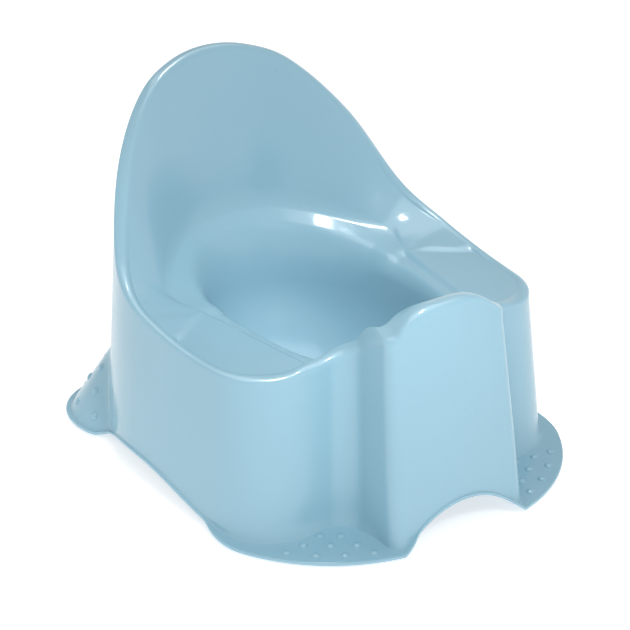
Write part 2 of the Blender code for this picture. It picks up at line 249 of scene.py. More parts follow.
@dataclass(frozen=True)
class MattRubber:
    """Soft grey rubber with a fine grain.

    Args:
        name: Material name.
        colour: Base colour.
        worn: Colour of the rubbed spots.
        roughness: Lowest and highest roughness.
        rub_waves: Rubbed spots per metre.
        grain_waves: Grains per metre.
        grain_bump: Depth of the grain.
    """

    name: str = "grey_rubber"
    colour: Colour = (0.26, 0.29, 0.32)
    worn: Colour = (0.36, 0.39, 0.42)
    roughness: Pair = (0.68, 0.86)
    rub_waves: float = 60.0
    grain_waves: float = 900.0
    grain_bump: float = 0.00006

    def make(self) -> bpy.types.Material:
        """Build the material and return it."""
        kit = NodeKit(self.name)
        place = kit.object_place()
        grain = kit.noise(place, self.grain_waves, detail=3.0, rough=0.6)
        rub = kit.noise(place, self.rub_waves, detail=5.0, rough=0.6, shift=(2.0, 1.0, 0.0))
        kit.link(kit.ramp(rub, (0.42, self.colour), (0.70, self.worn)), "Base Color")
        kit.link(kit.range(rub, (0.3, 0.7), self.roughness), "Roughness")
        kit.link(kit.bump(grain, self.grain_bump, None), "Normal")
        return kit.material


@dataclass(frozen=True)
class FloorPaint:
    """Plain pale floor with a hardly visible grain.

    Args:
        name: Material name.
        colour: Base colour.
        grain_waves: Grains per metre.
        grain_shade: How dark the grain is beside the base colour.
        glow: A little light of its own, so that it stays white.
    """

    name: str = "pale_floor"
    colour: Colour = (0.70, 0.70, 0.705)
    grain_waves: float = 40.0
    grain_shade: float = 0.985
    glow: float = 0.62

    def make(self) -> bpy.types.Material:
        """Build the material and return it."""
        kit = NodeKit(self.name)
        grain = kit.noise(kit.object_place(), self.grain_waves, detail=3.0, rough=0.6)
        darker = tuple(self.grain_shade * c for c in self.colour)
        kit.link(kit.ramp(grain, (0.3, darker), (0.7, self.colour)), "Base Color")
        kit.constant("Roughness", 0.65)
        kit.constant("Specular IOR Level", 0.25)
        kit.shader.inputs["Emission Color"].default_value = (1.0, 1.0, 1.0, 1.0)
        kit.constant("Emission Strength", self.glow)
        return kit.material


class NodeKit:
    """Short calls for the few shader nodes that the finishes share."""

    def __init__(self, name: str) -> None:
        """Start a node material.

        Args:
            name: Name of the material.
        """
        self.material = bpy.data.materials.new(name)
        self.material.use_nodes = True
        self.tree = self.material.node_tree
        self.shader = self.tree.nodes["Principled BSDF"]

    def node(self, kind: str, **settings: object) -> bpy.types.Node:
        """Add a node and set its properties."""
        made = self.tree.nodes.new(kind)
        for key, value in settings.items():
            setattr(made, key, value)
        return made

    def object_place(self) -> Socket:
        """Return the place on the object."""
        return self.node("ShaderNodeTexCoord").outputs["Object"]

    def noise(self, place: Socket, waves: float, detail: float, rough: float,
              shift: tuple[float, float, float] = (0.0, 0.0, 0.0)) -> Socket:
        """Add a noise pattern.

        Args:
            place: Coordinates to read.
            waves: Waves per metre.
            detail: Number of finer layers.
            rough: Strength of the finer layers.
            shift: Offset that gives each pattern its own spots.

        Returns:
            The noise value.
        """
        mapping = self.node("ShaderNodeMapping")
        mapping.inputs["Location"].default_value = shift
        made = self.node("ShaderNodeTexNoise")
        made.inputs["Scale"].default_value = waves
        made.inputs["Detail"].default_value = detail
        made.inputs["Roughness"].default_value = rough
        self.tree.links.new(place, mapping.inputs["Vector"])
        self.tree.links.new(mapping.outputs["Vector"], made.inputs["Vector"])
        return made.outputs["Fac"]

    def specks(self, place: Socket, cells: float, size: float) -> Socket:
        """Add sparse round specks and return their mask.

        Args:
            place: Coordinates to read.
            cells: Cells per metre.
            size: Radius of a speck in cells.

        Returns:
            A mask that is 1 inside a speck.
        """
        grid = self.node("ShaderNodeTexVoronoi")
        grid.inputs["Scale"].default_value = cells
        inside = self.node("ShaderNodeMath", operation="LESS_THAN")
        inside.inputs[1].default_value = size
        self.tree.links.new(place, grid.inputs["Vector"])
        self.tree.links.new(grid.outputs["Distance"], inside.inputs[0])
        return inside.outputs["Value"]

    def ramp(self, value: Socket, low: tuple[float, Colour], high: tuple[float, Colour]) -> Socket:
        """Turn a value into a colour between two (place, colour) stops."""
        made = self.node("ShaderNodeValToRGB")
        for stop, (place, colour) in zip(made.color_ramp.elements, (low, high)):
            stop.position = place
            stop.color = (*colour, 1.0)
        self.tree.links.new(value, made.inputs["Fac"])
        return made.outputs["Color"]

    def tint(self, colour: Socket, mask: Socket, other: Colour) -> Socket:
        """Paint another colour where the mask is 1."""
        made = self.node("ShaderNodeMix", data_type="RGBA")
        factor, first, second = (made.inputs[k] for k in (0, 6, 7))  # several sockets are named A and B
        second.default_value = (*other, 1.0)
        self.tree.links.new(mask, factor)
        self.tree.links.new(colour, first)
        return made.outputs[2]

    def range(self, value: Socket, source: Pair, target: Pair) -> Socket:
        """Stretch a value from one range to another."""
        made = self.node("ShaderNodeMapRange")
        for name, number in zip(("From Min", "From Max", "To Min", "To Max"), (*source, *target)):
            made.inputs[name].default_value = number
        self.tree.links.new(value, made.inputs["Value"])
        return made.outputs["Result"]

    def bump(self, height: Socket, depth: float, before: Socket | None) -> Socket:
        """Add a bump, on top of an earlier one if there is one."""
        made = self.node("ShaderNodeBump")
        made.inputs["Distance"].default_value = depth
        self.tree.links.new(height, made.inputs["Height"])
        if before is not None:
            self.tree.links.new(before, made.inputs["Normal"])
        return made.outputs["Normal"]

    def link(self, socket: Socket, name: str) -> None:
        """Connect a value to the shader."""
        self.tree.links.new(socket, self.shader.inputs[name])

    def constant(self, name: str, value: float) -> None:
        """Set a number on the shader's own socket."""
        self.shader.inputs[name].default_value = value


# ---------------------------------------------------------------- the outline in plan
@dataclass(frozen=True)
class PlanOutline:
    """Plan outline of the outer wall; each pair holds a size at the base and at draft_top.

    Args:
        draft_top: Height at which the second value of a pair holds.
        panel_half: Half width of the front panel.
        panel_reach: Distance of the panel corners in front of the origin.
        panel_bow: How far the panel bulges forward.
        ridge: Radius of the upright edge of the panel.
        hollow: Radius of the inner corner between panel and wing.
        wing_reach: Distance of the wing face in front of the origin.
        corner: Radius of the front corner of the wing.
        corner_turn: Where the corner ends, in radians before the side.
        back_centre: Centre of the round back.
        back: Radius of the round back.
        flank_taper: How much narrower the wing corner is than the back.
    """

    draft_top: float = 0.150
    panel_half: Pair = (0.0570, 0.0485)
    panel_reach: Pair = (0.1470, 0.1245)
    panel_bow: float = 0.0030
    ridge: Pair = (0.0110, 0.0090)
    hollow: Pair = (0.0170, 0.0150)
    wing_reach: Pair = (0.0930, 0.0775)
    corner: Pair = (0.0480, 0.0460)
    corner_turn: float = 0.11
    back_centre: float = 0.046
    back: Pair = (0.1450, 0.1345)
    flank_taper: float = 0.005

    def at(self, values: Pair, z: float) -> float:
        """Return a drafted size at height z."""
        return mix(values[0], values[1], z / self.draft_top)

    def point(self, stretch: Stretch, t: float, z: float) -> Plan:
        """Return a point of the right half outline.

        Args:
            stretch: The stretch of the outline.
            t: Place on the stretch, 0 to 1.
            z: Height.

        Returns:
            X and Y of the point.
        """
        half = self.at(self.panel_half, z)
        reach = self.at(self.panel_reach, z)
        ridge = self.at(self.ridge, z)
        hollow = self.at(self.hollow, z)
        wing = self.at(self.wing_reach, z)
        corner = self.at(self.corner, z)
        back = self.at(self.back, z)
        flank = back - self.flank_taper
        if stretch is Stretch.PANEL:
            bow = self.panel_bow * math.cos(math.pi / 2 * t) ** 2
            return (half - ridge) * t, -reach - bow
        if stretch is Stretch.RIDGE:
            return self.on_arc(half - ridge, -reach + ridge, ridge, -math.pi / 2 * (1.0 - t))
        if stretch is Stretch.SIDE:
            return half, mix(-reach + ridge, -wing - hollow, t)
        if stretch is Stretch.HOLLOW:
            return self.on_arc(half + hollow, -wing - hollow, hollow, math.pi * (1.0 - 0.5 * t))
        if stretch is Stretch.WING:
            return mix(half + hollow, flank - corner, t), -wing
        start = self.on_arc(flank - corner, -wing + corner, corner, -self.corner_turn)
        if stretch is Stretch.CORNER:
            angle = mix(-math.pi / 2, -self.corner_turn, t)
            return self.on_arc(flank - corner, -wing + corner, corner, angle)
        if stretch is Stretch.FLANK:
            return mix(start[0], back, 1.0 - (1.0 - t) ** 2), mix(start[1], self.back_centre, t)
        return self.on_arc(0.0, self.back_centre, back, math.pi / 2 * t)

    @staticmethod
    def on_arc(cx: float, cy: float, radius: float, angle: float) -> Plan:
        """Return a point on a circle."""
        return cx + radius * math.cos(angle), cy + radius * math.sin(angle)

    def outward(self, stretch: Stretch, t: float, z: float) -> Plan:
        """Return the unit direction that points out of the wall in plan."""
        step = 0.004  # share of the stretch over which the slope is read
        low, high = max(0.0, t - step), min(1.0, t + step)
        ax, ay = self.point(stretch, low, z)
        bx, by = self.point(stretch, high, z)
        if (stretch is Stretch.PANEL and t < step) or (stretch is Stretch.BACK and t > 1.0 - step):
            return 0.0, -1.0 if stretch is Stretch.PANEL else 1.0
        length = math.hypot(bx - ax, by - ay)
        return (by - ay) / length, -(bx - ax) / length

    def back_angle(self, x: float, y: float) -> float:
        """Return degrees round the back, 0 at the side and 90 at the middle."""
        return math.degrees(math.atan2(y - self.back_centre, abs(x)))


@dataclass(frozen=True)
class Column:
    """One upright section of the moulding on the right half.

    Args:
        stretch: Stretch of the outline it stands on.
        t: Place on that stretch.
        x: X at rim height.
        y: Y at rim height.
        travel: Distance along the outline from the front centre.
    """

    stretch: Stretch
    t: float
    x: float
    y: float
    travel: float


# ---------------------------------------------------------------- rear foot, flanges, arches
@dataclass(frozen=True)
class Feet:
    """Foot flanges, the bulging rear feet and the arches between them.

    Args:
        base: Underside of the flanges.
        thick: Thickness of the flanges.
        bead: Lip that runs round the whole lower edge.
        front_centre: Centre of the round front flange, right side.
        front_radius: Radius of the front flange.
        flange_inner: X between which the front flange grows from the panel's edge.
        flange_back: Y between which it fades out along the side wall.
        flange_start: Reach, in beads, from which the flange takes the bead's place.
        flange_blend: Length over which it does so.
        rear_angle: Direction of a rear foot in degrees from the X axis.
        rear_spread: Half width of a rear foot in degrees.
        rear_reach: How far a rear foot stands out at its base.
        rear_top: Height of a rear foot.
        rear_taper: Power by which a rear foot gets narrower upwards.
        rear_crease: Softness of the crease between rear foot and wall.
        rear_lip: Width of the lip round a rear foot.
        rear_lip_gain: How soon that lip has its full width.
        front_arch: Rise and half width of the front arch.
        side_rise: Rise of the side arch.
        side_peak: Y of the highest place of the side arch.
        side_front: Length of the side arch in front of its peak.
        side_back: Length of the side arch behind its peak.
        side_power: Roundness of the rear end of the side arch.
        back_rise: Rise of the back arch.
        back_half: Half width of the back arch in degrees.
    """

    base: float = 0.0024
    thick: float = 0.0024
    bead: float = 0.0018
    front_centre: Plan = (0.025, -0.025)
    front_radius: float = 0.1286
    flange_inner: Pair = (0.030, 0.052)
    flange_back: Pair = (-0.078, -0.028)
    flange_start: float = 0.6
    flange_blend: float = 0.003
    rear_angle: float = 42.0
    rear_spread: float = 20.5
    rear_reach: float = 0.031
    rear_top: float = 0.058
    rear_taper: float = 0.8
    rear_crease: float = 0.06
    rear_lip: float = 0.0040
    rear_lip_gain: float = 4.0
    front_arch: Pair = (0.0252, 0.0445)
    side_rise: float = 0.0170
    side_peak: float = 0.042
    side_front: float = 0.110
    side_back: float = 0.061
    side_power: float = 2.6
    back_rise: float = 0.0140
    back_half: float = 26.0

    @property
    def top(self) -> float:
        """Upper face of the flanges."""
        return self.base + self.thick

    def bulge(self, angle: float, z: float) -> float:
        """Return how far the rear foot stands out of the wall.

        Args:
            angle: Degrees round the back.
            z: Height.

        Returns:
            The distance in metres.
        """
        level = max(0.0, (z - self.top) / (self.rear_top - self.top))
        if level >= 1.0:
            return 0.0
        left = 1.0 - level
        off = (angle - self.rear_angle) / (self.rear_spread * left ** self.rear_taper)
        crown = max(0.0, 1.0 - off * off)
        soft = self.rear_crease
        return self.rear_reach * left * (1.0 + soft) * crown * crown / (crown + soft)

    def arch(self, column: Column, outline: PlanOutline) -> float:
        """Return the height of the lower edge of the moulding at a column."""
        rise, width = self.front_arch
        if column.stretch in (Stretch.PANEL, Stretch.RIDGE):
            return self.base + rise * max(0.0, 1.0 - (column.x / width) ** 2)
        angle = outline.back_angle(column.x, column.y)
        if angle > 90.0 - self.back_half:
            return self.base + self.back_rise * (1.0 - ((90.0 - angle) / self.back_half) ** 2)
        ahead = self.side_peak - column.y
        if column.stretch in (Stretch.CORNER, Stretch.FLANK) and 0.0 <= ahead < self.side_front:
            return self.base + self.side_rise * math.cos(math.pi / 2 * ahead / self.side_front) ** 2
        if column.stretch in (Stretch.FLANK, Stretch.BACK) and -self.side_back < ahead < 0.0:
            return self.base + self.side_rise * (1.0 - abs(ahead / self.side_back) ** self.side_power)
        return self.base


# ---------------------------------------------------------------- the moulding
@dataclass(frozen=True)
class Ray:
    """The direction of one section in plan, seen from the bowl centre.

    Args:
        centre: Y of the bowl centre.
        ux: X of the direction.
        uy: Y of the direction.
    """

    centre: float
    ux: float
    uy: float

    @property
    def turn(self) -> float:
        """Degrees from the side of the chair; 90 points to the back."""
        return math.degrees(math.atan2(self.uy, self.ux))

    def at(self, distance: float, z: float) -> Vector:
        """Return the point at a distance from the bowl centre and at height z."""
        return Vector((self.ux * distance, self.centre + self.uy * distance, z))

    def meet(self, line: Pair) -> float:
        """Return the distance to a line, given as its X beside the bowl centre and its slope."""
        flattest = 0.05  # keeps a ray that runs along the line finite
        return line[0] / max(flattest, self.ux + line[1] * self.uy)


@dataclass(frozen=True)
class Fades:
    """Where one form of the section turns into the next, each as a start and an end.

    The guard's is in metres, the others are in degrees round the bowl centre, 0 to the
    side and 90 to the back.

    Args:
        guard: Splash guard to wing, as travel past the end of the panel.
        hem: The inner edge of the rim sinks below the crest.
        lean: The level rim of the wings turns into the leaning rim of the backrest.
        shelf_foot: The line where the shelf meets the seat leaves seat height.
        soft: The crisp edges of the shelf melt away.
        ring: The flat shelf turns into the round seat ring.
        climb: The seat's bend climbs to the foot of the backrest.
        round_back: The bowl edge gets rounder behind.
    """

    guard: Pair = (0.020, 0.046)
    hem: Pair = (2.0, 40.0)
    lean: Pair = (-4.0, 30.0)
    shelf_foot: Pair = (12.0, 21.0)
    soft: Pair = (13.5, 20.0)
    ring: Pair = (17.0, 34.0)
    climb: Pair = (17.0, 88.0)
    round_back: Pair = (20.0, 50.0)


@dataclass(frozen=True)
class Roundings:
    """Lengths of the rounding before and after each corner of a section.

    Args:
        bowl_foot: Where the bowl floor turns up into its wall.
        bowl_edge: Edge of the bowl at the sides, at the back and under the guard.
        shelf: The four seat corners where the shelf is crisp.
        seat: The same corners where the seat is round.
        hem: Inner edge of the rim beside the seat, and on the guard.
        shoulder: Inner end of the rim's top on the wings, the backrest and the guard.
        foot: Where the wall meets the lip.
        lip: Upper edge of the lip.
        below: Lower edge of the lip.
    """

    bowl_foot: Pair = (0.085, 0.062)
    bowl_edge: tuple[Pair, Pair, Pair] = ((0.013, 0.0115), (0.030, 0.024), (0.004, 0.004))
    shelf: tuple[Pair, ...] = ((0.0020, 0.0018), (0.0013, 0.0013), (0.0025, 0.0025), (0.0005, 0.0005))
    seat: tuple[Pair, ...] = ((0.010, 0.010), (0.016, 0.016), (0.008, 0.008), (0.008, 0.008))
    hem: tuple[Pair, Pair] = ((0.0010, 0.0006), (0.0030, 0.0030))
    shoulder: tuple[Pair, Pair, Pair] = ((0.0006, 0.0006), (0.0026, 0.0026), (0.006, 0.005))
    foot: Pair = (0.0007, 0.0007)
    lip: Pair = (0.0009, 0.0009)
    below: Pair = (0.0009, 0.0005)


@dataclass
class PottyShell:
    """The whole chair body: seat, bowl, guard, wings, backrest, walls and flanges.

    A curve is a list of stations, each a place and a value. Travel is the distance along
    the outline from the front centre.

    Args:
        outline: Plan outline of the outer wall.
        feet: Flanges, rear feet and arches.
        finish: Surface of the plastic.
        fades: Where the forms of the section turn into each other.
        roundings: Roundings of the section's corners.
        wall: Thickness of the moulding.
        rim_level: Height at which the columns are laid out.
        wing_height: Height of the rim on the wings.
        wing_climb: How fast that rim climbs, and the Y from which it does.
        shelf_drop: Depth of the shelf below the rim.
        shelf_slope: Width of the slope between shelf and seat.
        shelf_line: Inner edge of the shelf: its X beside the bowl centre, and its slope.
        backrest_line: The same for the line where the backrest rises from the shelf.
        seat_height: Height of the seat at the bowl edge.
        seat_rise: Rise of the flat seat between the bowl edge and the shelf.
        ring_foot: Place of the seat ring's lower corner, as a share from bowl to rim.
        ring_bend: Place of its bend, as a share from bowl to rim.
        ring_rise: Place of the backrest's foot, as a share from bend to rim.
        backrest_foot: Height of the seat's bend behind the bowl.
        dish_step: Height of the step between shelf and backrest.
        dish_face: Width of the curve in front of that step.
        dish_ends: Widths of backrest and shelf at which the step has its full height.
        hem_drop: Depth of the rim's inner edge below the crest on the backrest.
        hem_lift: How far that edge may stand above the crest on the guard.
        guard_width: Width of the rim on the guard.
        rim_drop: Height of the rolled edge of the rim.
        guard_drop: The same on the guard.
        wing_roll: Width of the rolled edge on the wings, as a share of the rim.
        back_roll: Width of the rolled edge on the backrest.
        guard_roll: Width of the rolled edge on the guard.
        shoulder_inset: Distance from the rim's inner edge to its level top, on wings and backrest.
        guard_shoulder: Width of the guard's level top, as a share of the rim.
        bowl_centre: Y of the bowl centre.
        bowl_half_width: Half width of the bowl.
        bowl_half_length: Half length of the bowl.
        bowl_power: Power of the bowl's oval; 2 is an ellipse.
        bowl_floor: Height of the bowl floor.
        bowl_foot: Where floor and wall of the bowl would meet unrounded, as a share of its radius.
        bowl_edge: Height of the bowl edge under the guard.
        flare: How far the foot of the wall flares out.
        flare_height: Height of that flare.
        flare_side: Place on the panel's side from which the flare grows.
        flare_corner: Place on the wing's corner from which it fades out.
        foot_gap: Height of the last row of the wall above its foot.
        guard_rim: Curve of the crest over travel, on the guard and the front of the wing.
        guard_inner: Curve of the height of the guard's inner edge over X.
        rim_widths: Curve of the rim's width over travel.
        back_rim: Curve of the crest over degrees round the back.
        wall_rows: Places of the rows down the wall, 0 at the rim and 1 at the foot.
        edge_rows: Rows at the lower edge that have no underside of their own.
        normal_passes: How often the wall's normals are evened out.
        under_passes: How often the underside is evened out.
        counts: Number of columns on each stretch.
        y_shift: Distance from this shape's origin to the frame's, along Y.
    """

    outline: PlanOutline = field(default_factory=PlanOutline)
    feet: Feet = field(default_factory=Feet)
    finish: GlossyPlastic = field(default_factory=GlossyPlastic)
    fades: Fades = field(default_factory=Fades)
    roundings: Roundings = field(default_factory=Roundings)
    wall: float = 0.0025
    rim_level: float = 0.130
    wing_height: float = 0.1195
    wing_climb: Pair = (1.3, -0.030)
    shelf_drop: float = 0.0004
    shelf_slope: float = 0.0050
    shelf_line: Pair = (0.0870, -0.143)
    backrest_line: Pair = (0.12324, 1.1515)
    seat_height: float = 0.1156
    seat_rise: float = 0.0002
    ring_foot: float = 0.36
    ring_bend: float = 0.55
    ring_rise: float = 0.45
    backrest_foot: float = 0.138
    dish_step: float = 0.0022
    dish_face: float = 0.0070
    dish_ends: Pair = (0.006, 0.018)
    hem_drop: float = 0.0048
    hem_lift: float = 0.0004
    guard_width: float = 0.0230
    rim_drop: float = 0.0062
    guard_drop: float = 0.0085
    wing_roll: float = 0.80
    back_roll: float = 0.0050
    guard_roll: float = 0.0085
    shoulder_inset: Pair = (0.0012, 0.0022)
    guard_shoulder: float = 0.46
    bowl_centre: float = 0.015
    bowl_half_width: float = 0.070
    bowl_half_length: float = 0.111
    bowl_power: float = 2.15
    bowl_floor: float = 0.020
    bowl_foot: float = 0.88
    bowl_edge: float = 0.103
    flare: float = 0.0025
    flare_height: float = 0.012
    flare_side: float = 0.3
    flare_corner: float = 0.45
    foot_gap: float = 0.0006
    guard_rim: tuple[Pair, ...] = (
        (0.000, 0.1665), (0.012, 0.1663), (0.022, 0.1647), (0.031, 0.1613), (0.038, 0.1568),
        (0.0445, 0.1518), (0.055, 0.1484), (0.070, 0.1412), (0.080, 0.1346), (0.092, 0.1286),
        (0.102, 0.1256), (0.110, 0.1241), (0.126, 0.1230), (0.137, 0.1208), (0.150, 0.1197),
        (0.165, 0.1195), (0.180, 0.1195))
    guard_inner: tuple[Pair, ...] = (
        (0.000, 0.1590), (0.014, 0.1585), (0.024, 0.1568), (0.032, 0.1543), (0.040, 0.1500),
        (0.046, 0.1452), (0.052, 0.1396), (0.060, 0.1320), (0.070, 0.1240))
    rim_widths: tuple[Pair, ...] = (
        (0.090, 0.0122), (0.122, 0.0112), (0.155, 0.0092), (0.185, 0.0064), (0.230, 0.0059),
        (0.275, 0.0064), (0.322, 0.0092), (0.362, 0.0110), (0.490, 0.0110))
    back_rim: tuple[Pair, ...] = (
        (-20.0, 0.1215), (0.0, 0.1270), (20.0, 0.1470), (40.0, 0.2020),
        (60.0, 0.2420), (75.0, 0.2560), (90.0, 0.2605), (105.0, 0.2560))
    wall_rows: tuple[float, ...] = (
        0.0, 0.07, 0.15, 0.25, 0.35, 0.44, 0.52, 0.58, 0.63, 0.67, 0.71, 0.745, 0.78, 0.81,
        0.84, 0.87, 0.895, 0.92, 0.945, 0.965, 0.98)
    edge_rows: int = 12
    normal_passes: int = 8
    under_passes: int = 4
    counts: tuple[int, ...] = (26, 14, 12, 16, 9, 32, 22, 66)
    y_shift: float = 0.0

    def __post_init__(self) -> None:
        """Lay out the columns of the right half."""
        self.columns = self.lay_columns()

    # ---- columns and heights
    def lay_columns(self) -> list[Column]:
        """Return the columns from the front centre to the back centre."""
        columns: list[Column] = []
        travel = 0.0
        for stretch, count in zip(Stretch, self.counts):
            last = stretch is Stretch.BACK
            for k in range(count + (1 if last else 0)):
                t = k / count
                x, y = self.outline.point(stretch, t, self.rim_level)
                if columns:
                    travel += math.hypot(x - columns[-1].x, y - columns[-1].y)
                columns.append(Column(stretch, t, x, y, travel))
        return columns

    @property
    def ridge_start(self) -> float:
        """Travel at which the panel ends."""
        return self.columns[self.counts[0]].travel

    def crest(self, column: Column) -> float:
        """Return the height of the rim at a column."""
        if column.travel < self.guard_rim[-1][0]:
            return along(self.guard_rim, column.travel)
        if column.stretch is not Stretch.BACK:
            speed, start = self.wing_climb
            return self.wing_height + speed * max(0.0, column.y - start) ** 2
        return along(self.back_rim, self.outline.back_angle(column.x, column.y))

    def guard_share(self, column: Column) -> float:
        """Return 1 on the splash guard and 0 on the wings, seat and backrest."""
        return 1.0 - smooth(*self.fades.guard, column.travel - self.ridge_start)

    def bowl_radius(self, ux: float, uy: float) -> float:
        """Return the distance from the bowl centre to its wall in a direction."""
        a = (abs(ux) / self.bowl_half_width) ** self.bowl_power
        b = (abs(uy) / self.bowl_half_length) ** self.bowl_power
        return (a + b) ** (-1.0 / self.bowl_power)

    # ---- outer wall
    def flare_share(self, column: Column) -> float:
        """Return how much of the foot flare a column gets."""
        if column.stretch is Stretch.SIDE:
            return smooth(self.flare_side, 1.0, column.t)
        if column.stretch in (Stretch.HOLLOW, Stretch.WING):
            return 1.0
        if column.stretch is Stretch.CORNER:
            return 1.0 - smooth(self.flare_corner, 1.0, column.t)
        return 0.0

    def wall_point(self, column: Column, z: float) -> Vector:
        """Return the point of the outer wall at height z."""
        x, y = self.outline.point(column.stretch, column.t, z)
        if column.stretch is Stretch.BACK:
            out = self.feet.bulge(self.outline.back_angle(x, y), z)
            ahead = y - self.outline.back_centre
            length = math.hypot(x, ahead)
            return Vector((x + x / length * out, y + ahead / length * out, z))
        rise = max(0.0, 1.0 - (z - self.feet.top) / self.flare_height)
        out = self.flare * min(1.0, rise) ** 2 * self.flare_share(column)
        px, py = self.outline.outward(column.stretch, column.t, z)
        return Vector((x + px * out, y + py * out, z))

    def lip_point(self, column: Column, z: float) -> Vector:
        """Return the outer edge of the lip or of the foot flange."""
        feet = self.feet
        foot = self.wall_point(column, z)
        if column.stretch is Stretch.BACK:
            share = feet.bulge(self.outline.back_angle(foot.x, foot.y), feet.top) / feet.rear_reach
            reach = mix(feet.bead, feet.rear_lip, min(1.0, feet.rear_lip_gain * share))
            out = Vector((foot.x, foot.y - self.outline.back_centre, 0.0)).normalized()
            return foot + out * reach
        px, py = self.outline.outward(column.stretch, column.t, z)
        plain = foot + Vector((px, py, 0.0)) * feet.bead
        away = Vector((foot.x - feet.front_centre[0], foot.y - feet.front_centre[1], 0.0))
        reach = max(0.0, feet.front_radius - away.length)
        reach *= 1.0 - smooth(*feet.flange_back, foot.y)
        reach *= smooth(*feet.flange_inner, foot.x)
        flange = foot + away.normalized() * reach
        share = smooth(0.0, feet.flange_blend, reach - feet.flange_start * feet.bead)
        return plain.lerp(flange, share)

    # ---- sections
    def shelf_crossings(self, ray: Ray, inner: float) -> Pair:
        """Return where a ray enters the wing shelf and where the backrest rises from it.

        Args:
            ray: Direction of the section.
            inner: Distance of the inner edge of the rim.

        Returns:
            The two distances from the bowl centre.
        """
        least_back, least_shelf, least_gap = 0.0008, 0.0004, 0.0002
        limit = inner - least_back
        enter = min(ray.meet(self.shelf_line), limit - least_shelf)
        return enter, min(max(ray.meet(self.backrest_line), enter + least_gap), limit)

    def seat_places(self, ray: Ray, bowl: float, inner: float, inner_z: float) -> list[Vector]:
        """Return the seat's corners: shelf foot, shelf edge, foot and top of the step behind it.

        Args:
            ray: Direction of the section.
            bowl: Distance of the bowl edge.
            inner: Distance of the inner edge of the rim.
            inner_z: Height of that edge.

        Returns:
            The four corners from the bowl outwards.
        """
        enter, leave = self.shelf_crossings(ray, inner)
        ring = smooth(*self.fades.ring, ray.turn)
        shelf_z = self.wing_height - self.shelf_drop
        bend_d = mix(enter, bowl + self.ring_bend * (inner - bowl), ring)
        bend_z = mix(shelf_z, self.backrest_foot, smooth(*self.fades.climb, ray.turn))
        bend_z = min(bend_z, inner_z)
        foot_d = mix(enter - self.shelf_slope, bowl + self.ring_foot * (inner - bowl), ring)
        even_z = mix(self.seat_height, bend_z, (foot_d - bowl) / (bend_d - bowl))
        foot_z = mix(self.seat_height + self.seat_rise, even_z, smooth(*self.fades.shelf_foot, ray.turn))
        rise_d = mix(leave, mix(bend_d, inner, self.ring_rise), ring)
        rise_z = mix(bend_z, mix(bend_z, inner_z, self.ring_rise), ring)
        back, shelf = self.dish_ends
        step = self.dish_step * smooth(0.0, back, inner - leave) * smooth(0.0, shelf, leave - enter)
        rise_z = max(rise_z, min(rise_z + step, inner_z))
        ease_d = mix(max(bend_d, rise_d - self.dish_face), mix(bend_d, rise_d, 0.5), ring)
        ease_z = mix(bend_z, mix(bend_z, rise_z, 0.5), ring)
        places = (foot_d, foot_z), (bend_d, bend_z), (ease_d, ease_z), (rise_d, rise_z)
        return [ray.at(distance, z) for distance, z in places]

    def section(self, column: Column) -> list[Vector]:
        """Return the points of the upper surface from the bowl floor out to the lip's edge."""
        crest, share, rounded = self.crest(column), self.guard_share(column), self.roundings
        top = self.outline.point(column.stretch, column.t, crest)
        length = math.hypot(top[0], top[1] - self.bowl_centre)
        ray = Ray(self.bowl_centre, top[0] / length, (top[1] - self.bowl_centre) / length)
        lean = smooth(*self.fades.lean, ray.turn)
        round_back = smooth(*self.fades.round_back, ray.turn)
        soft = max(smooth(*self.fades.soft, ray.turn), share)

        # the rim's inner edge, the bowl edge and the seat between them
        bowl = self.bowl_radius(ray.ux, ray.uy)
        rim = mix(along(self.rim_widths, column.travel), self.guard_width, share)
        inner = length - rim
        inner_z = mix(crest - self.shelf_drop, crest - self.hem_drop, smooth(*self.fades.hem, ray.turn))
        guard_z = min(crest + self.hem_lift, along(self.guard_inner, ray.ux * inner))
        inner_z = mix(inner_z, guard_z, share)
        hem = ray.at(inner, inner_z)
        edge = ray.at(bowl, mix(self.seat_height, self.bowl_edge, share))
        seat = self.seat_places(ray, bowl, inner, inner_z)
        seat = [place.lerp(edge.lerp(hem, (k + 1) / 5), share) for k, place in enumerate(seat)]

        # the rim's top and its rolled edge
        inset = mix(*self.shoulder_inset, lean)
        shoulder = ray.at(length - mix(rim - inset, self.guard_shoulder * rim, share), crest)
        drop = mix(self.rim_drop, self.guard_drop, share)
        over = mix(mix(self.wing_roll * rim, self.back_roll, lean), self.guard_roll, share)
        side = self.wall_point(column, crest - drop)

        side_edge, back_edge, guard_edge = rounded.bowl_edge
        wing_top, back_top, guard_top = rounded.shoulder
        corners = [
            Corner(ray.at(bowl * self.bowl_foot, self.bowl_floor), *rounded.bowl_foot,
                   steps=14, run=3, reach=0.8),
            Corner(edge, *mix_pair(mix_pair(side_edge, back_edge, round_back), guard_edge, share),
                   steps=8, run=4, reach=0.7)]
        detail = ((4, 4), (4, 2), (3, 2), (3, 2))
        for place, crisp, melted, (steps, run) in zip(seat, rounded.shelf, rounded.seat, detail):
            corners.append(Corner(place, *mix_pair(crisp, melted, soft), steps=steps, run=run))
        corners += [
            Corner(hem, *mix_pair(*rounded.hem, share), steps=4, run=4),
            Corner(shoulder, *mix_pair(mix_pair(wing_top, back_top, lean), guard_top, share),
                   steps=4, run=1),
            Corner(Vector((side.x, side.y, crest)), over, drop, steps=9, run=2)]
        floor = Vector((0.0, self.bowl_centre, self.bowl_floor))
        return rounded_line(floor, corners, side)[:-1] + self.wall_line(column, crest - drop)

